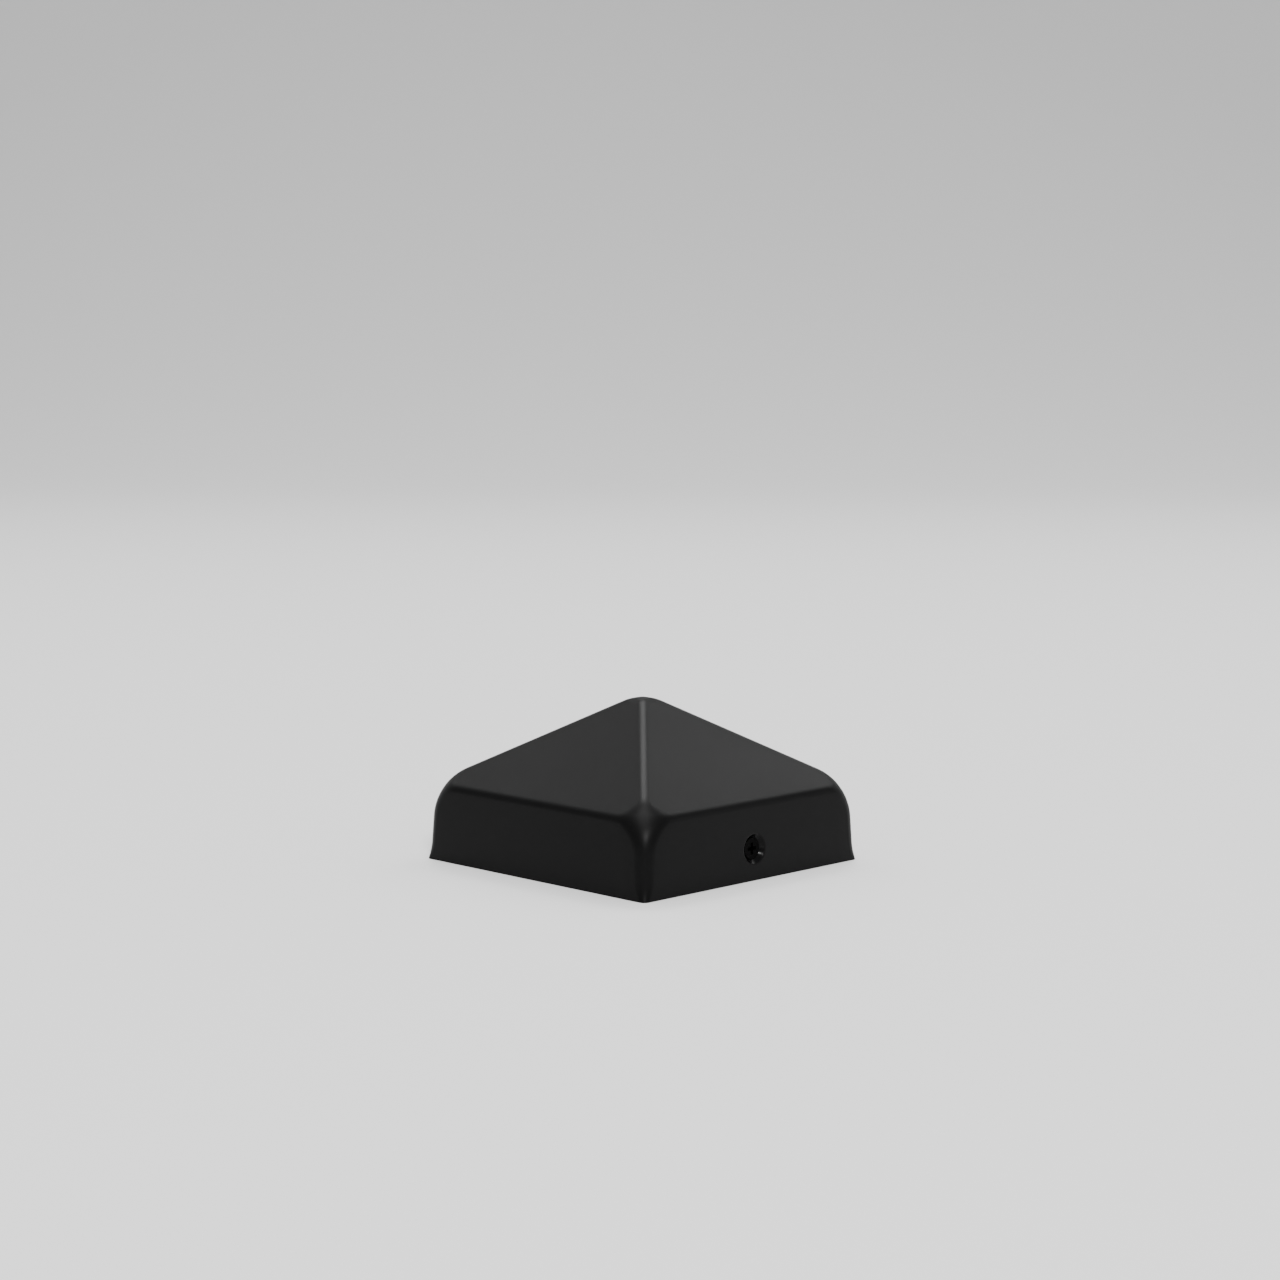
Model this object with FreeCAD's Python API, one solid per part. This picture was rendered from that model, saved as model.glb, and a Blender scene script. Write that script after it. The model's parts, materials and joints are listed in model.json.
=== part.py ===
import FreeCAD
import Part

import math
import os

# Pyramid cap for a square timber post: one drawn sheet-metal shell, and the two countersunk
# screws that hold it through dimpled holes in opposite sides of its skirt.
# Millimetres, +Z up. The origin is the centre of the mouth in the plane of the rim, and the
# screw holes are in the middle of the +X and -X sides.

V = FreeCAD.Vector
ROOT2 = math.sqrt(2.0)

# --- shell -------------------------------------------------------------------------------
SHEET = 1.0              # thickness of the coated sheet
MOUTH_WIDTH = 71.0       # clear width across the flats at the rim
SKIRT_HEIGHT = 18.2      # rim to where skirt and roof would meet if that edge were sharp
DRAFT = 1.8              # degrees by which a skirt side leans in, going up
ROOF_PITCH = 31.7        # degrees from level, up the middle of a roof side
EAVE_BEND = 2.5          # outer radius of the bend from skirt into roof
CORNER_RADIUS = 3.0      # outer radius of the upright corners at the rim, in a level section
CORNER_LEAN = 3.9        # degrees by which an upright corner leans in, going up
HIP_RADIUS = 1.8         # outer radius of the hips, in a level section
RIDGE_SWEEP = 13.5       # outer radius of the sweep from a hip down into its upright corner
CROWN_SWEEP = 11.7       # outer radius over the top, along the hips
FLARE_OUT = 0.6          # how far the drawn corners kick out at the rim
FLARE_HEIGHT = 4.3       # height over which they do
RIM_BREAK = 0.2          # rounding of the trimmed edge
CROWN_FLAT = 0.015       # depth of the tiny flat that closes each skin at its top
BEND_MARGIN = 0.3        # height past each end of the eave's bend that is drawn with it
ROUNDEST = 0.95          # largest corner radius, as a share of a level section's half width

# --- countersunk holes -------------------------------------------------------------------
HOLE_HEIGHT = 7.4        # rim to the middle of a hole, up the slope of the skirt side
DIMPLE_WIDTH = 7.2       # where the countersink's cone would meet the skirt's outer face
DIMPLE_LIP = 0.5         # radius from the skirt's outer face into the cone
DIMPLE_LAND = 0.9        # flat sheet kept round the back of the dimple
HOLE_GAP = 0.25          # clearance round the screw's thread in the hole
HOLE_LAND = 0.35         # straight wall of the hole below the cone
CONE_HALF_ANGLE = 45.0   # degrees, shared by countersink and screw head

# --- screws ------------------------------------------------------------------------------
SCREW_LENGTH = 16.0      # head's face to the point
THREAD_WIDTH = 3.0       # over the crests; the thread stands as a plain cylinder of this size
THREAD_START = 2.0       # head's face to the start of the thread
NECK_WIDTH = 2.2         # plain neck between the head's cone and the thread
POINT_LENGTH = 3.2
POINT_WIDTH = 0.2        # blunt end of the point
HEAD_WIDTH = 5.0
HEAD_EDGE = 0.15         # upright edge of the head above its cone
SEAT_GAP = 0.06          # clearance between the head's cone and the countersink
RECESS_WIDTH = 2.8       # cross recess, tip to tip at the head's face
RECESS_ARM = 0.8         # width of one arm at the head's face
RECESS_ARM_LOW = 0.48    # and at the recess's bottom
RECESS_DEPTH = 1.2
RECESS_NARROWING = 0.5   # how much shorter each arm is at the bottom
CUT_OVER = 0.05          # how far the recess's cutter starts above the head's face


class Profile:
    """Half of an upright cut through the shell's axis: a straight skirt, a bend, a straight
    roof and a round crown. x is the distance from the axis."""

    def __init__(self, foot, lean, peak, pitch, bend, crown):
        self.foot = foot
        self.lean = lean
        self.peak = peak
        self.pitch = pitch
        self.bend = bend
        self.crown = crown
        # where skirt and roof lines cross, and the arc that takes their place
        spread = 1.0 - math.tan(lean) * math.tan(pitch)
        self.knee_z = (peak - foot * math.tan(pitch)) / spread
        self.knee_x = foot - self.knee_z * math.tan(lean)
        reach = bend * math.tan((math.pi / 2.0 - lean - pitch) / 2.0)
        self.low_z = self.knee_z - reach * math.cos(lean)
        self.high_z = self.knee_z + reach * math.sin(pitch)
        self.bend_x = self.knee_x + reach * math.sin(lean) - bend * math.cos(lean)
        self.bend_z = self.low_z - bend * math.sin(lean)
        # the crown arc is level where it crosses the axis
        self.top = peak - crown * (1.0 / math.cos(pitch) - 1.0)
        self.crown_z = self.top - crown * (1.0 - math.cos(pitch))

    def x(self, z):
        if z <= self.low_z:
            return self.foot - z * math.tan(self.lean)
        if z < self.high_z:
            return self.bend_x + math.sqrt(self.bend ** 2 - (z - self.bend_z) ** 2)
        if z < self.crown_z:
            return (self.peak - z) / math.tan(self.pitch)
        return math.sqrt(self.crown ** 2 - (z - self.top + self.crown) ** 2)

    def inset(self, depth):
        """The same cut measured that much further in, square to every line and arc."""
        foot = self.foot - depth / math.cos(self.lean)
        peak = self.peak - depth / math.cos(self.pitch)
        return Profile(foot, self.lean, peak, self.pitch, self.bend - depth, self.crown - depth)


def outer_profiles():
    """The shell's outside, cut through the middle of a side and through a corner."""
    lean = math.radians(DRAFT)
    pitch = math.radians(ROOF_PITCH)
    foot = MOUTH_WIDTH / 2.0 + SHEET / math.cos(lean)
    peak = SKIRT_HEIGHT + (foot - SKIRT_HEIGHT * math.tan(lean)) * math.tan(pitch)
    # a round corner takes this share of its radius off the diagonal
    share = ROOT2 - 1.0
    hip_pitch = math.atan(math.tan(pitch) / ROOT2)
    hip_peak = peak - share * HIP_RADIUS * math.tan(hip_pitch)
    corner = Profile(ROOT2 * foot - share * CORNER_RADIUS, math.radians(CORNER_LEAN),
                     hip_peak, hip_pitch, RIDGE_SWEEP, CROWN_SWEEP)
    # sides and hips reach the same height on the axis
    side_crown = (peak - corner.top) / (1.0 / math.cos(pitch) - 1.0)
    side = Profile(foot, lean, peak, pitch, EAVE_BEND, side_crown)
    return side, corner


def flare(z):
    """How far a corner stands out at height z because of the kick at the rim."""
    return FLARE_OUT * max(0.0, 1.0 - z / FLARE_HEIGHT) ** 2


def level_section(side, corner, z):
    """Outline at one height: a square with round corners."""
    half = side.x(z)
    radius = (ROOT2 * half - corner.x(z) - flare(z)) / (ROOT2 - 1.0)
    radius = min(radius, ROUNDEST * half)
    straight = half - radius
    tip = straight + radius / ROOT2
    edges = []
    for quarter in range(4):
        turn = FreeCAD.Rotation(V(0, 0, 1), 90.0 * quarter)
        start = turn.multVec(V(half, -straight, z))
        end = turn.multVec(V(half, straight, z))
        middle = turn.multVec(V(tip, tip, z))
        following = turn.multVec(V(straight, half, z))
        edges.append(Part.makeLine(start, end))
        edges.append(Part.Arc(end, middle, following).toShape())
    return Part.Wire(edges)


def levels(low, high, count):
    return [low + (high - low) * i / (count - 1) for i in range(count)]


def skin(side, corner, foot_z):
    """Solid bounded by one skin of the shell, from foot_z up to the crown."""
    crown_z = min(side.crown_z, corner.crown_z)
    tip = side.top - CROWN_FLAT
    bend_low = side.low_z - BEND_MARGIN
    bend_high = side.high_z + BEND_MARGIN
    zones = [
        levels(foot_z, FLARE_HEIGHT, 6),
        levels(FLARE_HEIGHT, corner.low_z, 2),
        levels(corner.low_z, bend_low, 5),
        levels(bend_low, bend_high, 11),
        levels(bend_high, corner.high_z, 4),
        levels(corner.high_z, crown_z, 2),
        [tip - (tip - crown_z) * (1.0 - i / 6.0) ** 2 for i in range(7)],
    ]
    faces = []
    for zone in zones:
        wires = [level_section(side, corner, z) for z in zone]
        faces += Part.makeLoft(wires, False, len(zone) == 2).Faces
    faces.append(Part.Face(level_section(side, corner, foot_z)))
    faces.append(Part.Face(level_section(side, corner, tip)))
    shell = Part.makeShell(faces)
    shell.sewShape()
    solid = Part.makeSolid(shell)
    if solid.Volume < 0.0:
        solid.reverse()
    return solid


def turned(points):
    """Solid turned about Z from (radius, height) points. A point given as three pairs is the
    start, middle and end of an arc."""
    edges = []
    last = None
    first = None
    for point in points:
        arc = len(point) == 3
        start = V(point[0][0], 0, point[0][1]) if arc else V(point[0], 0, point[1])
        if first is None:
            first = start
        elif (start - last).Length > 1e-7:
            edges.append(Part.makeLine(last, start))
        last = start
        if arc:
            middle = V(point[1][0], 0, point[1][1])
            last = V(point[2][0], 0, point[2][1])
            edges.append(Part.Arc(start, middle, last).toShape())
    edges.append(Part.makeLine(last, first))
    return Part.Face(Part.Wire(edges)).revolve(V(0, 0, 0), V(0, 0, 1), 360)


def hole_place(sign):
    """Local frame of a screw hole: Z out of the sheet, origin on the skirt's outer face."""
    side = outer_profiles()[0]
    out = V(sign * math.cos(side.lean), 0, math.sin(side.lean))
    up = V(-sign * math.sin(side.lean), 0, math.cos(side.lean))
    origin = V(sign * side.foot, 0, 0) + up * HOLE_HEIGHT
    return FreeCAD.Placement(origin, FreeCAD.Rotation(V(0, 0, 1), out))


def placed(shape, place):
    copy = shape.copy()
    copy.Placement = place
    return copy


def rounded(corner_radius, turn):
    """Arc between the skirt's outer face and the countersink's cone: start, middle and end."""
    reach = DIMPLE_LIP * math.tan(turn / 2.0)
    start = (corner_radius + reach, 0.0)
    end = (corner_radius - reach * math.cos(turn), -reach * math.sin(turn))
    cut = DIMPLE_LIP / math.cos(turn / 2.0) - DIMPLE_LIP
    middle = (corner_radius + cut * math.sin(turn / 2.0), -cut * math.cos(turn / 2.0))
    return start, middle, end


def dimple():
    """Dished ring of sheet round a screw hole, and the disc of flat sheet it takes the place of."""
    half_angle = math.radians(CONE_HALF_ANGLE)
    outer_corner = DIMPLE_WIDTH / 2.0
    inner_corner = outer_corner + SHEET / math.cos(half_angle) - SHEET * math.tan(half_angle)
    rim = inner_corner + DIMPLE_LAND
    outer_lip = rounded(outer_corner, math.pi / 2.0 - half_angle)
    hole = THREAD_WIDTH / 2.0 + HOLE_GAP
    hole_top = -(outer_corner - hole) / math.tan(half_angle)
    bottom = hole_top - HOLE_LAND
    foot = inner_corner + (bottom + SHEET) * math.tan(half_angle)
    ring = turned([
        (rim, 0.0),
        outer_lip,
        (hole, hole_top),
        (hole, bottom),
        (foot, bottom),
        (inner_corner, -SHEET),
        (rim, -SHEET),
    ])
    disc = Part.makeCylinder(rim, 3.0 * SHEET, V(0, 0, -2.0 * SHEET))
    return ring, disc


def broken_rim(body):
    """The trimmed edge with its two sharp edges rounded."""
    edges = [e for e in body.Edges if abs(e.BoundBox.ZMax) < 0.01 and e.BoundBox.ZMin > -0.01]
    return body.makeFillet(RIM_BREAK, edges)


def cap_shell():
    side, corner = outer_profiles()
    outside = skin(side, corner, 0.0)
    inside = skin(side.inset(SHEET), corner.inset(SHEET), -1.0)
    body = broken_rim(outside.cut(inside))
    ring, disc = dimple()
    for sign in (1.0, -1.0):
        place = hole_place(sign)
        body = body.cut(placed(disc, place)).fuse(placed(ring, place))
    return body.Solids[0]


def cross(width, arm, z):
    w = width / 2.0
    a = arm / 2.0
    points = [(w, -a), (w, a), (a, a), (a, w), (-a, w), (-a, a),
              (-w, a), (-w, -a), (-a, -a), (-a, -w), (a, -w), (a, -a)]
    corners = [V(x, y, z) for x, y in points]
    return Part.makePolygon(corners + corners[:1])


def screw():
    """Countersunk wood screw, its head's face at z = 0 and its point at -SCREW_LENGTH."""
    head = HEAD_WIDTH / 2.0
    neck = NECK_WIDTH / 2.0
    crest = THREAD_WIDTH / 2.0
    cone_end = HEAD_EDGE + (head - neck) / math.tan(math.radians(CONE_HALF_ANGLE))
    body = turned([
        (0.0, 0.0),
        (head, 0.0),
        (head, -HEAD_EDGE),
        (neck, -cone_end),
        (neck, -THREAD_START),
        (crest, -THREAD_START),
        (crest, POINT_LENGTH - SCREW_LENGTH),
        (POINT_WIDTH / 2.0, -SCREW_LENGTH),
        (0.0, -SCREW_LENGTH),
    ])
    top = cross(RECESS_WIDTH, RECESS_ARM, CUT_OVER)
    low = cross(RECESS_WIDTH - 2.0 * RECESS_NARROWING, RECESS_ARM_LOW, -RECESS_DEPTH)
    return body.cut(Part.makeLoft([top, low], True, True))


def head_sink():
    """Depth of the head's face under the skirt's outer face when the screw is home."""
    half_angle = math.radians(CONE_HALF_ANGLE)
    gap = SEAT_GAP / math.cos(half_angle)
    return (DIMPLE_WIDTH / 2.0 - gap - HEAD_WIDTH / 2.0) / math.tan(half_angle) - HEAD_EDGE


def fixing_screw(sign):
    place = hole_place(sign)
    home = place.multiply(FreeCAD.Placement(V(0, 0, -head_sink()), FreeCAD.Rotation()))
    return placed(screw(), home)


def main():
    os.makedirs("parts", exist_ok=True)
    nodes = {
        "cap_shell": cap_shell(),
        "fixing_screw_right": fixing_screw(1.0),
        "fixing_screw_left": fixing_screw(-1.0),
    }
    for name, shape in nodes.items():
        if not shape.isValid():
            raise RuntimeError(name + " is not a valid solid")
        shape.exportStep(os.path.join("parts", name + ".step"))
        box = shape.BoundBox
        print(name, len(shape.Solids), "solid", round(shape.Volume, 1), "mm3",
              [round(v, 2) for v in (box.XMin, box.YMin, box.ZMin, box.XMax, box.YMax, box.ZMax)])


main()
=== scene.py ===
import json
import math

import bmesh
import bpy
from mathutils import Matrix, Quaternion, Vector


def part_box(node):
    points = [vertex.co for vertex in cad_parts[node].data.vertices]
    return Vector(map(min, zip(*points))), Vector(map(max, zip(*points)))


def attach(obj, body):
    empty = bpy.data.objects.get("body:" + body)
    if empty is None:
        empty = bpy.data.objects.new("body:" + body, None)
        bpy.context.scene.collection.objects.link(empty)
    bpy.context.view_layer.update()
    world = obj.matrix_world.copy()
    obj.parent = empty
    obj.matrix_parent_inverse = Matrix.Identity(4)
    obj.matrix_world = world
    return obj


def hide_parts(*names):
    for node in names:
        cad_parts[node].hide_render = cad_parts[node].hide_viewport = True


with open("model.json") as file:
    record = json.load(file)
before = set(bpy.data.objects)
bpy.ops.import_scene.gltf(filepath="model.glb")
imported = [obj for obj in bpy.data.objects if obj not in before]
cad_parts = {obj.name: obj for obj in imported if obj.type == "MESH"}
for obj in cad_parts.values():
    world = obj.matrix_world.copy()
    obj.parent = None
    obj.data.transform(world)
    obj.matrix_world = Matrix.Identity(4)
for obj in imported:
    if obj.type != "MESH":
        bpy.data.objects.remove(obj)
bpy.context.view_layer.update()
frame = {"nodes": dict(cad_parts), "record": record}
record = frame["record"]
millimetre = 0.001
nearly = 0.01  # how close two heights count as one, in millimetres
print("frame loaded:", sorted(frame["nodes"]))


# a socket that can be used in plain arithmetic, so a rule reads as a rule
class Field:
    def __init__(self, tree, socket):
        self.tree = tree
        self.socket = socket

    def math(self, operation, *others):
        node = self.tree.nodes.new("ShaderNodeMath")
        node.operation = operation
        for slotSocket, value in zip(node.inputs, (self,) + others):
            if isinstance(value, Field):
                self.tree.links.new(value.socket, slotSocket)
            else:
                slotSocket.default_value = value
        return Field(self.tree, node.outputs[0])

    def __add__(self, other):
        return self.math("ADD", other)

    def __sub__(self, other):
        return self.math("SUBTRACT", other)

    def __mul__(self, other):
        return self.math("MULTIPLY", other)

    def __truediv__(self, other):
        return self.math("DIVIDE", other)

    def __rsub__(self, other):
        return self.math("MULTIPLY", -1.0).math("ADD", other)

    def __rtruediv__(self, other):
        return self.math("POWER", -1.0).math("MULTIPLY", other)

    def tan(self):
        return self.math("TANGENT")

    def cos(self):
        return self.math("COSINE")

    def sin(self):
        return self.math("SINE")

    def root(self):
        return self.math("MAXIMUM", 0.0).math("SQRT")

    def squared(self):
        return self * self

    def above(self, other):
        return self.math("GREATER_THAN", other)

    def clamped(self):
        return self.math("MAXIMUM", 0.0).math("MINIMUM", 1.0)


def vectorMath(tree, operation, first, second):
    node = tree.nodes.new("ShaderNodeVectorMath")
    node.operation = operation
    tree.links.new(first, node.inputs[0])
    if isinstance(second, Field):
        tree.links.new(second.socket, node.inputs["Scale"])
    else:
        tree.links.new(second, node.inputs[1])
    return node.outputs[0]


def joinedVector(tree, x, y, z):
    node = tree.nodes.new("ShaderNodeCombineXYZ")
    for slotSocket, value in zip(node.inputs, (x, y, z)):
        if isinstance(value, Field):
            tree.links.new(value.socket, slotSocket)
        else:
            slotSocket.default_value = value
    return node.outputs[0]


def namedVector(tree, name):
    node = tree.nodes.new("GeometryNodeInputNamedAttribute")
    node.data_type = "FLOAT_VECTOR"
    node.inputs["Name"].default_value = name
    return node.outputs["Attribute"]


def splitVector(tree, socket):
    node = tree.nodes.new("ShaderNodeSeparateXYZ")
    tree.links.new(socket, node.inputs[0])
    return [Field(tree, out) for out in node.outputs]


def newTree(name, kind, inputs, outputs):
    # inputs and outputs: lists of (name, socket type, starting value or None)
    tree = bpy.data.node_groups.new(name, kind)
    for direction, sockets in (("INPUT", inputs), ("OUTPUT", outputs)):
        for label, socketType, start in sockets:
            made = tree.interface.new_socket(name=label, in_out=direction, socket_type=socketType)
            if start is not None:
                made.default_value = start
    entry = tree.nodes.new("NodeGroupInput")
    leave = tree.nodes.new("NodeGroupOutput")
    return tree, entry, leave


def blankObject(name, points, faces, notes):
    # a plain mesh whose named notes tell the node tree where each point belongs
    mesh = bpy.data.meshes.new(name)
    mesh.from_pydata(points, [], faces)
    for label, values in notes.items():
        layer = mesh.attributes.new(label, "FLOAT_VECTOR", "POINT")
        layer.data.foreach_set("vector", [c for value in values for c in value])
    item = bpy.data.objects.new(name, mesh)
    bpy.context.scene.collection.objects.link(item)
    return item


def formed(item, tree, settings, name, sharpAngle):
    # runs the tree on the blank and keeps the result as a plain mesh
    modifier = item.modifiers.new("form", "NODES")
    modifier.node_group = tree
    for socket in tree.interface.items_tree:
        if socket.item_type == "SOCKET" and socket.in_out == "INPUT" and socket.name in settings:
            modifier[socket.identifier] = settings[socket.name]
    bpy.context.view_layer.update()
    evaluated = item.evaluated_get(bpy.context.evaluated_depsgraph_get())
    mesh = bpy.data.meshes.new_from_object(evaluated)
    mesh.name = name
    item.modifiers.remove(modifier)
    oldMesh = item.data
    item.data = mesh
    bpy.data.meshes.remove(oldMesh)
    item.name = name
    mesh.shade_smooth()
    mesh.set_sharp_from_angle(angle=math.radians(sharpAngle))
    item.data.update()
    return item


# finishes
def coatGrainGroup():
    # fine pebbled skin of a sprayed and baked coat, with slow drifts in how it shines
    tree, entry, leave = newTree(
        "coatGrain", "ShaderNodeTree",
        [("Grain size", "NodeSocketFloat", 0.0004), ("Drift size", "NodeSocketFloat", 0.02),
         ("Base roughness", "NodeSocketFloat", 0.4), ("Roughness drift", "NodeSocketFloat", 0.05),
         ("Colour", "NodeSocketColor", (0.01, 0.01, 0.01, 1.0)),
         ("Colour drift", "NodeSocketFloat", 0.1), ("Hole out", "NodeSocketFloat", 0.0),
         ("Hole up", "NodeSocketFloat", 0.0), ("Hole reach", "NodeSocketFloat", 0.0),
         ("Hole roughness", "NodeSocketFloat", 1.0)],
        [("Height", "NodeSocketFloat", None), ("Roughness", "NodeSocketFloat", None),
         ("Colour", "NodeSocketColor", None)])
    place = tree.nodes.new("ShaderNodeTexCoord").outputs["Object"]

    def noise(sizeName, detail):
        node = tree.nodes.new("ShaderNodeTexNoise")
        node.inputs["Detail"].default_value = detail
        tree.links.new(place, node.inputs["Vector"])
        scale = 1.0 / Field(tree, entry.outputs[sizeName])
        tree.links.new(scale.socket, node.inputs["Scale"])
        return Field(tree, node.outputs["Fac"])

    grain = noise("Grain size", 2.0)
    drift = noise("Drift size", 3.0) - 0.5
    tree.links.new(grain.socket, leave.inputs["Height"])
    roughness = drift * Field(tree, entry.outputs["Roughness drift"]) * 2.0
    roughness = roughness + Field(tree, entry.outputs["Base roughness"])
    # the pressed wall of a countersink is smoother than the sheet round it
    x, y, z = splitVector(tree, place)
    aside = x.math("ABSOLUTE") - Field(tree, entry.outputs["Hole out"])
    above = z - Field(tree, entry.outputs["Hole up"])
    away = (aside.squared() + y.squared() + above.squared()).root()
    inHole = Field(tree, entry.outputs["Hole reach"]).above(away)
    roughness = roughness * (1.0 - inHole * (1.0 - Field(tree, entry.outputs["Hole roughness"])))
    tree.links.new(roughness.socket, leave.inputs["Roughness"])
    tone = tree.nodes.new("ShaderNodeVectorMath")
    tone.operation = "SCALE"
    factor = drift * Field(tree, entry.outputs["Colour drift"]) * 2.0 + 1.0
    tree.links.new(entry.outputs["Colour"], tone.inputs[0])
    tree.links.new(factor.socket, tone.inputs["Scale"])
    tree.links.new(tone.outputs[0], leave.inputs["Colour"])
    return tree


coatGrain = coatGrainGroup()


def coatedMaterial(name, look):
    material = bpy.data.materials.new(name)
    material.use_nodes = True
    tree = material.node_tree
    shader = tree.nodes["Principled BSDF"]
    shader.inputs["Metallic"].default_value = 0.0
    shader.inputs["IOR"].default_value = look["ior"]
    shader.inputs["Specular IOR Level"].default_value = look["specular"]
    group = tree.nodes.new("ShaderNodeGroup")
    group.node_tree = coatGrain
    group.inputs["Colour"].default_value = look["colour"] + (1.0,)
    for label, key in (("Grain size", "grainSize"), ("Drift size", "driftSize"),
                       ("Base roughness", "roughness"), ("Roughness drift", "roughnessDrift"),
                       ("Colour drift", "colourDrift"), ("Hole out", "holeOut"),
                       ("Hole up", "holeUp"), ("Hole reach", "holeReach"),
                       ("Hole roughness", "holeRoughness")):
        group.inputs[label].default_value = look[key]
    bump = tree.nodes.new("ShaderNodeBump")
    bump.inputs["Strength"].default_value = look["grainStrength"]
    bump.inputs["Distance"].default_value = look["grainHeight"]
    tree.links.new(group.outputs["Height"], bump.inputs["Height"])
    tree.links.new(bump.outputs["Normal"], shader.inputs["Normal"])
    tree.links.new(group.outputs["Roughness"], shader.inputs["Roughness"])
    tree.links.new(group.outputs["Colour"], shader.inputs["Base Color"])
    return material


screwLow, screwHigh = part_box("fixing_screw_right")
powderCoatLook = {
    "colour": (0.003, 0.003, 0.0031),
    "roughness": 0.38,
    "roughnessDrift": 0.03,
    "colourDrift": 0.06,
    "specular": 0.08,
    "ior": 1.5,
    "grainSize": 0.00045,
    "grainHeight": 0.00001,
    "grainStrength": 0.35,
    "driftSize": 0.018,
    "holeOut": screwHigh[0],
    "holeUp": (screwLow[2] + screwHigh[2]) / 2,
    "holeReach": 0.0035,
    "holeRoughness": 0.45,
}
powderCoat = coatedMaterial("blackPowderCoat", powderCoatLook)

# black screw coat, made darker and duller than the cap's coat so the screw head reads as the deep
# shade of an empty hole: painted shade on a real black screw
screwShadeCoatLook = {
    # near-black colour here is painted shade, darker than the screw's own black finish
    "colour": (0.001, 0.001, 0.001),
    "roughness": 0.5,
    "roughnessDrift": 0.06,
    "colourDrift": 0.2,
    "specular": 0.03,
    "ior": 1.5,
    "grainSize": 0.0003,
    "grainHeight": 0.000008,
    "grainStrength": 0.3,
    "driftSize": 0.002,
    "holeOut": 0.0,
    "holeUp": 0.0,
    "holeReach": 0.0,
    "holeRoughness": 1.0,
}
screwShadeCoat = coatedMaterial("blackScrewPaintedShade", screwShadeCoatLook)
print("finishes made")


# the cap: a blank whose points carry notes, which a node tree presses into shape
capSizes = {  # millimetres and degrees
    "sheet": 1.0,
    "mouthWidth": 71.0,
    "skirtHeight": 18.2,
    "draft": 1.8,
    "roofPitch": 31.7,
    "eaveBend": 2.5,
    "cornerRadius": 3.0,
    "cornerLean": 3.9,
    "hipRadius": 1.8,
    "ridgeSweep": 13.5,
    "crownSweep": 11.7,
    "flareOut": 0.6,
    "flareHeight": 4.3,
    "rimBreak": 0.2,
    "holeHeight": 7.4,
    "dimpleWidth": 7.2,
    "dimpleLip": 0.5,
    "dimpleBack": 4.8,
    "holeWidth": 3.5,
    "holeLand": 0.35,
    "edgeBreak": 0.06,
    "cornerSteps": 16,
    "windowSteps": 20,
    "windowHalf": 6.0,
    "fadeSteps": 7,
    "crownSteps": 12,
    "crownDepth": 1.5,
    "lipSteps": 5,
    "roundest": 0.95,
    "sharpAngle": 50,
}


def uprightCutTree():
    # half of an upright cut through the cap: skirt line, bend, roof line, round crown
    numbers = ["Foot", "Lean", "Peak", "Pitch", "Bend", "Crown", "Z"]
    tree, entry, leave = newTree(
        "uprightCut", "GeometryNodeTree",
        [(label, "NodeSocketFloat", 0.0) for label in numbers],
        [("X", "NodeSocketFloat", None)])
    foot, lean, peak, pitch, bend, crown, z = [Field(tree, entry.outputs[n]) for n in numbers]
    kneeZ = (peak - foot * pitch.tan()) / (1.0 - lean.tan() * pitch.tan())
    kneeX = foot - kneeZ * lean.tan()
    reach = bend * ((math.pi / 2 - lean - pitch) * 0.5).tan()
    lowZ = kneeZ - reach * lean.cos()
    highZ = kneeZ + reach * pitch.sin()
    bendX = kneeX + reach * lean.sin() - bend * lean.cos()
    bendZ = lowZ - bend * lean.sin()
    top = peak - crown * (1.0 / pitch.cos() - 1.0)
    crownZ = top - crown * (1.0 - pitch.cos())
    x = foot - z * lean.tan()
    inBend = bendX + (bend.squared() - (z - bendZ).squared()).root()
    x = x + z.above(lowZ) * (inBend - x)
    onRoof = (peak - z) / pitch.tan()
    x = x + z.above(highZ) * (onRoof - x)
    onCrown = (crown.squared() - (z - top + crown).squared()).root()
    x = x + z.above(crownZ) * (onCrown - x)
    tree.links.new(x.socket, leave.inputs["X"])
    return tree


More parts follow.
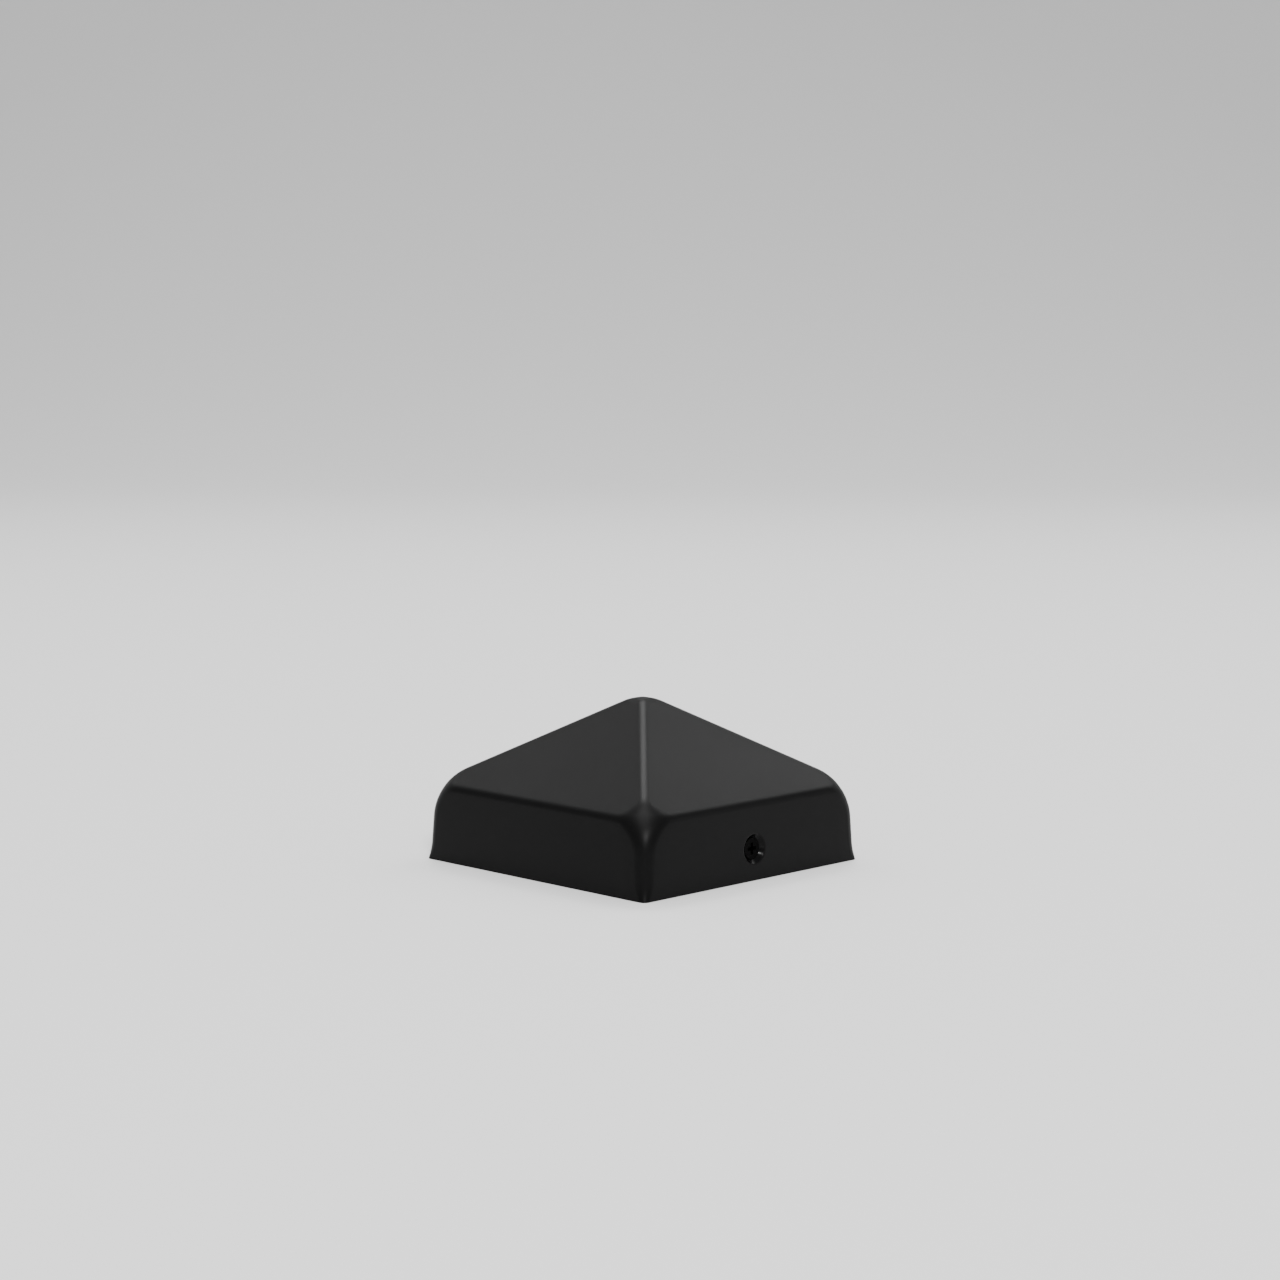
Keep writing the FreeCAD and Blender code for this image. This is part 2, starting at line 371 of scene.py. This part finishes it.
def pressTree():
    # a point's own notes: straightPart and roundPart say how far it follows the straight and
    # the round part of its level, offset is plain distance, sunk is depth under the skirt's face
    numbers = ["Foot", "Skirt height", "Draft", "Roof pitch", "Eave bend", "Corner radius",
               "Corner lean", "Hip radius", "Ridge sweep", "Crown sweep", "Flare out",
               "Flare height"]
    tree, entry, leave = newTree(
        "pressCap", "GeometryNodeTree",
        [("Blank", "NodeSocketGeometry", None)]
        + [(label, "NodeSocketFloat", 1.0) for label in numbers]
        + [("Coat", "NodeSocketMaterial", None)],
        [("Cap", "NodeSocketGeometry", None)])
    size = {label: Field(tree, entry.outputs[label]) for label in numbers}
    position = tree.nodes.new("GeometryNodeInputPosition").outputs[0]
    inset, z = splitVector(tree, position)[::2]
    degree = math.pi / 180.0
    lean = size["Draft"] * degree
    pitch = size["Roof pitch"] * degree
    cornerLean = size["Corner lean"] * degree
    foot = size["Foot"]
    skirt = size["Skirt height"]
    share = math.sqrt(2.0) - 1.0
    peak = skirt + (foot - skirt * lean.tan()) * pitch.tan()
    hipPitch = (pitch.tan() * math.sqrt(0.5)).math("ARCTANGENT")
    hipPeak = peak - size["Hip radius"] * share * hipPitch.tan()
    cornerFoot = foot * math.sqrt(2.0) - size["Corner radius"] * share
    crown = size["Crown sweep"]
    cornerTop = hipPeak - crown * (1.0 / hipPitch.cos() - 1.0)
    sideCrown = (peak - cornerTop) / (1.0 / pitch.cos() - 1.0)
    cut = uprightCutTree()

    def cutAt(footValue, leanValue, peakValue, pitchValue, bendValue, crownValue):
        node = tree.nodes.new("GeometryNodeGroup")
        node.node_tree = cut
        values = {
            "Foot": footValue - inset / leanValue.cos(),
            "Lean": leanValue,
            "Peak": peakValue - inset / pitchValue.cos(),
            "Pitch": pitchValue,
            "Bend": bendValue - inset,
            "Crown": crownValue - inset,
            "Z": z,
        }
        for label, value in values.items():
            tree.links.new(value.socket, node.inputs[label])
        return Field(tree, node.outputs["X"])

    half = cutAt(foot, lean, peak, pitch, size["Eave bend"], sideCrown)
    diagonal = cutAt(cornerFoot, cornerLean, hipPeak, hipPitch, size["Ridge sweep"], crown)
    flare = size["Flare out"] * (1.0 - z / size["Flare height"]).clamped().squared()
    radius = (half * math.sqrt(2.0) - diagonal - flare) / share
    radius = radius.math("MINIMUM", half * capSizes["roundest"])
    straight = half - radius
    place = vectorMath(tree, "SCALE", namedVector(tree, "straightPart"), straight)
    bent = vectorMath(tree, "SCALE", namedVector(tree, "roundPart"), radius)
    place = vectorMath(tree, "ADD", place, bent)
    place = vectorMath(tree, "ADD", place, namedVector(tree, "offset"))
    place = vectorMath(tree, "ADD", place, joinedVector(tree, 0.0, 0.0, z))
    slope = joinedVector(tree, lean.cos(), 1.0, lean.sin())
    sunk = vectorMath(tree, "MULTIPLY", namedVector(tree, "sunk"), slope)
    place = vectorMath(tree, "ADD", place, sunk)
    move = tree.nodes.new("GeometryNodeSetPosition")
    tree.links.new(entry.outputs["Blank"], move.inputs["Geometry"])
    tree.links.new(place, move.inputs["Position"])
    metres = tree.nodes.new("GeometryNodeTransform")
    metres.inputs["Scale"].default_value = (millimetre,) * 3
    tree.links.new(move.outputs[0], metres.inputs["Geometry"])
    return finishTree(tree, entry, leave, metres.outputs[0], "Cap")


def finishTree(tree, entry, leave, geometry, outName):
    real = tree.nodes.new("GeometryNodeRealizeInstances")
    paint = tree.nodes.new("GeometryNodeSetMaterial")
    tree.links.new(geometry, real.inputs[0])
    tree.links.new(real.outputs[0], paint.inputs["Geometry"])
    tree.links.new(entry.outputs["Coat"], paint.inputs["Material"])
    tree.links.new(paint.outputs[0], leave.inputs[outName])
    return tree


def spread(low, high, count):
    return [low + (high - low) * i / count for i in range(count + 1)]


def arcSteps(count):
    return [math.pi / 2 * i / count for i in range(1, count)]


def capRows(size, top):
    # (height, inset) pairs from the outside's top, down, round the rim and up the inside
    def climb(highest):
        steps = size["crownSteps"]
        crown = [highest - size["crownDepth"] * (1.0 - i / steps) ** 2 for i in range(steps)]
        window = spread(size["holeHeight"] - size["windowHalf"],
                        size["holeHeight"] + size["windowHalf"], size["windowSteps"])
        underHole = [0.5, 0.9]
        overHole = [13.9, 14.4, 14.9, 15.4]
        eave = spread(15.8, 19.2, 17)
        roofFoot = spread(19.5, 22.5, 10)
        roof = [23.5, 26.0, 29.0, 32.0, 34.5, 36.0]
        return underHole + window + overHole + eave + roofFoot + roof + crown

    edge = size["rimBreak"]
    sheet = size["sheet"]
    outside = [(z, 0.0) for z in reversed(climb(top))]
    turnOut = [(edge - edge * math.sin(a), edge - edge * math.cos(a)) for a in arcSteps(4)]
    rim = [(edge, 0.0)] + turnOut + [(0.0, edge), (0.0, sheet - edge)]
    rim += [(z, sheet - inset) for z, inset in reversed(turnOut)] + [(edge, sheet)]
    inside = [(z, sheet) for z in climb(top - sheet)]
    return outside + rim + inside


def capColumns(size):
    # (straightPart, roundPart, offset) for each point round a level, quarter by quarter: first
    # for the levels beside the screw holes, then for those above, where a side gets shorter
    half = size["windowHalf"]
    share = half / (size["mouthWidth"] / 2 - size["cornerRadius"])
    near, far = [], []
    for quarter in range(4):
        c, s = [(1, 0), (0, 1), (-1, 0), (0, -1)][quarter]

        def turned(x, y, c=c, s=s):
            return (c * x - s * y, s * x + c * y, 0.0)

        fade = [i / size["fadeSteps"] for i in range(size["fadeSteps"])]
        flat = [(t - 1, -half * t, t - 1 - share * t) for t in fade]
        flat += [(0, y, share * y / half) for y in spread(-half, half, size["windowSteps"])]
        flat += [(1 - t, half * t, 1 - t + share * t) for t in reversed(fade)]
        for along, y, alongAbove in flat:
            near.append((turned(1, along), turned(1, 0), turned(0, y)))
            far.append((turned(1, alongAbove), turned(1, 0), turned(0, 0)))
        for angle in arcSteps(size["cornerSteps"]):
            corner = (turned(1, 1), turned(math.cos(angle), math.sin(angle)), turned(0, 0))
            near.append(corner)
            far.append(corner)
    return near, far


def dimpleRings(size):
    # (distance from the hole's axis, depth, whether it lies on the inner skin)
    lip = size["dimpleLip"]
    mouth = size["dimpleWidth"] / 2
    hole = size["holeWidth"] / 2
    sheet = size["sheet"]
    soft = size["edgeBreak"]
    start = mouth + lip * math.tan(math.pi / 8)
    rings = [(size["dimpleBack"], 0.0), (start + 0.25, 0.0)]
    for i in range(size["lipSteps"] + 1):
        angle = math.pi / 4 * i / size["lipSteps"]
        rings.append((start - lip * math.sin(angle), lip * (1 - math.cos(angle))))
    bottom = mouth - hole + size["holeLand"]
    neck = mouth - hole
    backCorner = mouth + sheet * (math.sqrt(2.0) - 1)
    backFoot = backCorner - (bottom - sheet)
    rings += [
        (hole + 2 * soft, neck - 2 * soft),
        (hole + 0.3 * soft, neck),
        (hole, neck + soft),
        (hole, bottom - soft),
        (hole + soft, bottom),
        (backFoot - 2 * soft, bottom),
        (backFoot + soft, bottom - soft),
        (backCorner - 2 * soft, sheet + 2 * soft),
        (backCorner, sheet + 0.4 * soft),
        (backCorner + 2 * soft, sheet),
        (size["dimpleBack"], sheet),
    ]
    return rings


def capBlank(size, top):
    rows = capRows(size, top)
    columns, columnsAbove = capColumns(size)
    count = len(columns)
    highest = size["holeHeight"] + size["windowHalf"]
    points, straight, rounded, offset, sunk = [], [], [], [], []

    def addPoint(z, inset, column, sink=(0.0, 0.0, 0.0)):
        points.append((inset, 0.0, z))
        straight.append(column[0])
        rounded.append(column[1])
        offset.append(column[2])
        sunk.append(sink)
        return len(points) - 1

    grid = [[addPoint(z, inset, column) for column in
             (columns if z < highest + nearly else columnsAbove)] for z, inset in rows]
    still = ((0.0, 0.0, 0.0),) * 3
    outerPole = addPoint(top, 0.0, still)
    innerPole = addPoint(top - size["sheet"], size["sheet"], still)

    # the square of points round each screw hole, on both skins
    steps = size["windowSteps"]
    lowest = size["holeHeight"] - size["windowHalf"]
    inWindow = [i for i, (z, inset) in enumerate(rows) if lowest - nearly < z < highest + nearly]
    outerRows = [i for i in inWindow if rows[i][1] == 0.0]
    innerRows = [i for i in inWindow if rows[i][1] == size["sheet"]]
    perQuarter = count // 4
    faces = []
    holes = set()
    for quarter, sign in ((0, 1.0), (2, -1.0)):
        first = quarter * perQuarter + size["fadeSteps"]
        window = list(range(first, first + steps + 1))
        for group in (outerRows, innerRows):
            for row in group[:-1]:
                holes.update((row, column) for column in window[:-1])
        perimeters = []
        for group in (outerRows, sorted(innerRows, key=lambda i: -rows[i][0])):
            topRow, bottomRow = group[0], group[-1]
            loop = [(topRow, c) for c in window[:-1]]
            loop += [(r, window[-1]) for r in group[:-1]]
            loop += [(bottomRow, c) for c in reversed(window[1:])]
            loop += [(r, window[0]) for r in reversed(group[1:])]
            perimeters.append(loop)
        flat = (columns[window[0]][0], columns[window[0]][1])
        loops = [[grid[r][c] for r, c in perimeters[0]]]
        for distance, depth in dimpleRings(size):
            back = distance == size["dimpleBack"] and depth > 0.0
            ring = []
            for r, c in perimeters[0]:
                dy = columns[c][2][1]
                dz = rows[r][0] - size["holeHeight"]
                length = math.hypot(dy, dz)
                y, up = distance * dy / length, distance * dz / length
                inset = size["sheet"] if back else 0.0
                sink = depth - inset
                place = (flat[0], flat[1], (0.0, y, 0.0))
                ring.append(addPoint(size["holeHeight"] + up, inset, place,
                                     (-sign * sink, 0.0, -sink)))
            loops.append(ring)
        loops.append([grid[r][c] for r, c in perimeters[1]])
        for outer, inner in zip(loops, loops[1:]):
            for i in range(len(outer)):
                j = (i + 1) % len(outer)
                faces.append((outer[i], outer[j], inner[j], inner[i]))
    for row in range(len(rows) - 1):
        for column in range(count):
            if (row, column) in holes:
                continue
            after = (column + 1) % count
            faces.append((grid[row][column], grid[row + 1][column],
                          grid[row + 1][after], grid[row][after]))
    for column in range(count):
        after = (column + 1) % count
        faces.append((outerPole, grid[0][column], grid[0][after]))
        faces.append((innerPole, grid[-1][after], grid[-1][column]))
    notes = {"straightPart": straight, "roundPart": rounded, "offset": offset, "sunk": sunk}
    return blankObject("capBlank", points, faces, notes)


def facingOut(item):
    # one closed mesh, every face pointing away from the metal
    work = bmesh.new()
    work.from_mesh(item.data)
    bmesh.ops.recalc_face_normals(work, faces=work.faces)
    openEdges = sum(1 for edge in work.edges if not edge.is_manifold)
    volume = work.calc_volume(signed=True)
    work.to_mesh(item.data)
    work.free()
    print(item.name, "open edges", openEdges, "volume mm3", round(volume * 1e9, 1))
    return item


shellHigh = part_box("cap_shell")[1]
capShell = formed(
    capBlank(capSizes, shellHigh[2] / millimetre), pressTree(),
    {
        "Foot": shellHigh[0] / millimetre,
        "Skirt height": capSizes["skirtHeight"],
        "Draft": capSizes["draft"],
        "Roof pitch": capSizes["roofPitch"],
        "Eave bend": capSizes["eaveBend"],
        "Corner radius": capSizes["cornerRadius"],
        "Corner lean": capSizes["cornerLean"],
        "Hip radius": capSizes["hipRadius"],
        "Ridge sweep": capSizes["ridgeSweep"],
        "Crown sweep": capSizes["crownSweep"],
        "Flare out": capSizes["flareOut"],
        "Flare height": capSizes["flareHeight"],
        "Coat": powderCoat,
    }, "capShell", capSizes["sharpAngle"])
facingOut(capShell)
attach(capShell, "cap")
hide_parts("cap_shell")
print("cap pressed:", len(capShell.data.polygons), "faces")


# the screws: a turned blank that gets its thread rolled and its cross struck
screwSizes = {  # millimetres
    "length": 16.0,
    "headWidth": 5.0,
    "headEdge": 0.15,
    "threadWidth": 3.0,
    "threadDepth": 0.42,
    "threadPitch": 1.35,
    "threadStart": 2.3,
    "pointLength": 3.2,
    "crossWidth": 2.8,
    "crossArm": 0.8,
    "crossDepth": 1.2,
    "steps": 48,
    "ringsPerPitch": 12,
    "threadEntry": 0.9,
    "ridgeShare": 0.24,
    "crossNarrowing": 0.35,
    "sharpAngle": 30,
}


def screwBlank(size):
    head = size["headWidth"] / 2
    core = size["threadWidth"] / 2 - size["threadDepth"]
    coneEnd = size["headEdge"] + head - core
    rows = [(0.4 * head, 0.0), (head - 0.25, 0.0), (head - 0.05, 0.0), (head, 0.05)]
    rows += [(head, size["headEdge"]), (core + 0.3, coneEnd - 0.3), (core + 0.05, coneEnd)]
    rows += [(core, coneEnd + 0.15), (core, size["threadStart"] - 0.2)]
    rolled = len(rows)
    depth = size["threadStart"]
    while depth < size["length"] - 0.05:
        narrowing = min(1.0, (size["length"] - depth) / size["pointLength"])
        rows.append((max(0.08, core * narrowing), depth))
        depth += size["threadPitch"] / size["ringsPerPitch"]
    rows.append((0.07, size["length"] - 0.02))
    points, worm = [], []
    for i, (radius, down) in enumerate(rows):
        for k in range(size["steps"]):
            angle = 2 * math.pi * k / size["steps"]
            points.append((radius * math.cos(angle), radius * math.sin(angle), -down))
            rise = (down - size["threadStart"]) / size["threadEntry"]
            entryRise = min(1.0, max(0.0, rise))
            narrowing = min(1.0, max(0.0, (size["length"] - down) / size["pointLength"]))
            worm.append((entryRise * narrowing if i >= rolled else 0.0, 0.0, 0.0))
    steps = size["steps"]
    faces = []
    for i in range(len(rows) - 1):
        for k in range(steps):
            after = (k + 1) % steps
            faces.append((i * steps + k, (i + 1) * steps + k,
                          (i + 1) * steps + after, i * steps + after))
    for height, row, order in ((0.0, 0, 1), (-size["length"], len(rows) - 1, -1)):
        pole = len(points)
        points.append((0.0, 0.0, height))
        worm.append((0.0, 0.0, 0.0))
        for k in range(steps):
            ends = (row * steps + k, row * steps + (k + 1) % steps)
            faces.append((pole,) + ends[::order])
    return blankObject("screwBlank", points, faces, {"worm": worm})


def screwTree():
    numbers = ["Thread pitch", "Thread depth", "Cross width", "Cross arm", "Cross depth"]
    tree, entry, leave = newTree(
        "rollAndStrike", "GeometryNodeTree",
        [("Blank", "NodeSocketGeometry", None)]
        + [(label, "NodeSocketFloat", 1.0) for label in numbers]
        + [("Seat", "NodeSocketVector", None), ("Turn", "NodeSocketVector", None),
           ("Coat", "NodeSocketMaterial", None)],
        [("Screw", "NodeSocketGeometry", None)])
    size = {label: Field(tree, entry.outputs[label]) for label in numbers}
    position = tree.nodes.new("GeometryNodeInputPosition").outputs[0]
    x, y, z = splitVector(tree, position)
    amount = splitVector(tree, namedVector(tree, "worm"))[0]
    # right-hand thread: one ridge that climbs a pitch in each turn
    phase = z / size["Thread pitch"] - y.math("ARCTAN2", x) * (0.5 / math.pi)
    wholeTurns = 64.0  # keeps the number positive
    phase = (phase + wholeTurns).math("FRACT")
    ridge = (1.0 - (phase - 0.5).math("ABSOLUTE") / screwSizes["ridgeShare"]).clamped()
    radius = (x.squared() + y.squared()).root()
    outward = ridge * amount * size["Thread depth"] / radius.math("MAXIMUM", 0.05)
    rolled = tree.nodes.new("GeometryNodeSetPosition")
    tree.links.new(entry.outputs["Blank"], rolled.inputs["Geometry"])
    tree.links.new(joinedVector(tree, x * outward, y * outward, 0.0), rolled.inputs["Offset"])

    # the struck cross is two blocks that narrow downwards
    struck = tree.nodes.new("GeometryNodeMeshBoolean")
    struck.operation = "DIFFERENCE"
    struck.solver = "EXACT"
    tree.links.new(rolled.outputs[0], struck.inputs["Mesh 1"])
    for turn in (0, 1):
        block = tree.nodes.new("GeometryNodeMeshCube")
        sides = [size["Cross width"], size["Cross arm"]]
        if turn:
            sides.reverse()
        extent = joinedVector(tree, sides[0], sides[1], size["Cross depth"] * 2.0)
        tree.links.new(extent, block.inputs["Size"])
        here = tree.nodes.new("GeometryNodeInputPosition").outputs[0]
        bx, by, bz = splitVector(tree, here)
        narrow = bz / size["Cross depth"] * screwSizes["crossNarrowing"]
        wedge = tree.nodes.new("GeometryNodeSetPosition")
        tree.links.new(block.outputs["Mesh"], wedge.inputs["Geometry"])
        tree.links.new(joinedVector(tree, bx * narrow, by * narrow, 0.0), wedge.inputs["Offset"])
        tree.links.new(wedge.outputs[0], struck.inputs["Mesh 2"])

    turned = tree.nodes.new("FunctionNodeEulerToRotation")
    tree.links.new(entry.outputs["Turn"], turned.inputs[0])
    placed = tree.nodes.new("GeometryNodeTransform")
    placed.inputs["Scale"].default_value = (millimetre,) * 3
    tree.links.new(struck.outputs["Mesh"], placed.inputs["Geometry"])
    tree.links.new(entry.outputs["Seat"], placed.inputs["Translation"])
    tree.links.new(turned.outputs[0], placed.inputs["Rotation"])
    return finishTree(tree, entry, leave, placed.outputs[0], "Screw")


screwForm = screwTree()
slideAxis = {joint["child"]: Vector(joint["axis"]) for joint in record["behaviour"]["joints"]}


def makeScrew(node, body, name, size):
    low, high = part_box(node)
    axis = slideAxis[body]
    head = size["headWidth"] / 2 * millimetre
    # the head's face is the widest place, and leans with the axis
    faceX = (high[0] - head * axis.z) if axis.x > 0 else (low[0] + head * axis.z)
    seat = Vector((faceX, (low[1] + high[1]) / 2, (low[2] + high[2]) / 2))
    turn = axis.to_track_quat("Z", "Y").to_euler()
    screw = formed(
        screwBlank(size), screwForm,
        {
            "Thread pitch": size["threadPitch"],
            "Thread depth": size["threadDepth"],
            "Cross width": size["crossWidth"],
            "Cross arm": size["crossArm"],
            "Cross depth": size["crossDepth"],
            "Seat": seat,
            "Turn": (turn.x, turn.y, turn.z),
            "Coat": screwShadeCoat,
        }, name, size["sharpAngle"])
    facingOut(screw)
    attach(screw, body)
    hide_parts(node)
    return screw


screwRight = makeScrew("fixing_screw_right", "right_screw", "fixingScrewRight", screwSizes)
makeScrew("fixing_screw_left", "left_screw", "fixingScrewLeft", screwSizes)
print("screws made:", len(screwRight.data.polygons), "faces each")


# studio
studio = {
    "floorColour": (0.86, 0.86, 0.86),
    "worldColour": (0.9, 0.9, 0.9),
    "worldStrength": 0.55,
    "sweepStart": 1.2,
    "sweepRadius": 1.2,
    "halfWidth": 4.0,
    "front": 3.0,
    "wallTop": 4.0,
    "sweepSteps": 24,
    "floorRoughness": 0.9,
    "floorSpecular": 0.1,
}

# level directions square to and along the view over the front corner
across = Vector((1, 1, 0)).normalized()
away = Vector((-1, 1, 0)).normalized()


def makeSweep(values):
    # floor and backdrop in one piece
    path = [(-values["front"], 0.0), (values["sweepStart"], 0.0)]
    radius = values["sweepRadius"]
    for angle in arcSteps(values["sweepSteps"]):
        path.append((values["sweepStart"] + radius * math.sin(angle),
                     radius - radius * math.cos(angle)))
    wall = values["sweepStart"] + radius
    path += [(wall, radius), (wall, values["wallTop"])]
    points = []
    for distance, height in path:
        for side in (-values["halfWidth"], values["halfWidth"]):
            points.append(across * side + away * distance + Vector((0, 0, height)))
    faces = [(2 * i, 2 * i + 1, 2 * i + 3, 2 * i + 2) for i in range(len(path) - 1)]
    mesh = bpy.data.meshes.new("studioSweep")
    mesh.from_pydata(points, [], faces)
    mesh.shade_smooth()
    item = bpy.data.objects.new("studioSweep", mesh)
    bpy.context.scene.collection.objects.link(item)
    material = bpy.data.materials.new("paleSweep")
    material.use_nodes = True
    shader = material.node_tree.nodes["Principled BSDF"]
    shader.inputs["Base Color"].default_value = values["floorColour"] + (1.0,)
    shader.inputs["Roughness"].default_value = values["floorRoughness"]
    shader.inputs["Specular IOR Level"].default_value = values["floorSpecular"]
    mesh.materials.append(material)
    return item


makeSweep(studio)

world = bpy.data.worlds.new("studioWorld")
bpy.context.scene.world = world
world.use_nodes = True
background = world.node_tree.nodes["Background"]
background.inputs["Color"].default_value = studio["worldColour"] + (1.0,)
background.inputs["Strength"].default_value = studio["worldStrength"]

# each light: where it stands, what it looks at, how big and how strong it is
softLights = {
    "overhead": {"at": (0.10, -0.10, 1.40), "size": (0.6, 0.6), "power": 9.0},
    "overheadFront": {"at": (0.45, -0.45, 1.25), "size": (0.5, 0.5), "power": 4.5},
    "backTop": {"at": (-0.60, 0.60, 1.30), "size": (0.4, 0.4), "power": 7.5},
    "backRight": {"at": (0.00, 1.04, 1.06), "size": (0.8, 0.8), "power": 5.0},
    "backLeft": {"at": (-1.04, 0.00, 1.06), "size": (0.8, 0.8), "power": 3.2},
    "rightSide": {"at": (1.10, 1.00, 0.35), "size": (0.5, 0.5), "power": 1.0},
    "frontSmall": {"at": (1.09, -0.80, 0.86), "size": (0.18, 0.18), "power": 14.0},
}


def addSoftLight(name, values):
    lamp = bpy.data.lights.new(name, "AREA")
    lamp.shape = "RECTANGLE"
    lamp.size, lamp.size_y = values["size"]
    lamp.energy = values["power"]
    item = bpy.data.objects.new(name, lamp)
    item.location = values["at"]
    aim = Vector((0, 0, 0.02)) - Vector(values["at"])
    item.rotation_euler = aim.to_track_quat("-Z", "Y").to_euler()
    bpy.context.scene.collection.objects.link(item)


for lightName, lightValues in softLights.items():
    addSoftLight(lightName, lightValues)

viewpoint = {  # metres and degrees, from the cap's centre at the rim
    "distance": 0.698,
    "height": 0.1383,
    "right": -0.00695,
    "turnLeft": -0.513,
    "tiltDown": 7.0,
    "roll": 0.226,
    "lens": 83.56,
    "sensor": 36.0,
    "nearest": 0.01,
}


def addCamera(values):
    data = bpy.data.cameras.new("viewCamera")
    data.sensor_width = values["sensor"]
    data.lens = values["lens"]
    data.clip_start = values["nearest"]
    item = bpy.data.objects.new("viewCamera", data)
    item.location = (across * values["right"] - away * values["distance"]
                     + Vector((0, 0, values["height"])))
    turn = math.radians(values["turnLeft"])
    tilt = math.radians(values["tiltDown"])
    level = away * math.cos(turn) - across * math.sin(turn)
    look = level * math.cos(tilt) - Vector((0, 0, math.sin(tilt)))
    roll = Quaternion((0, 0, 1), math.radians(values["roll"]))
    item.rotation_euler = (look.to_track_quat("-Z", "Y") @ roll).to_euler()
    bpy.context.scene.collection.objects.link(item)
    bpy.context.scene.camera = item


addCamera(viewpoint)
print("studio and camera set")
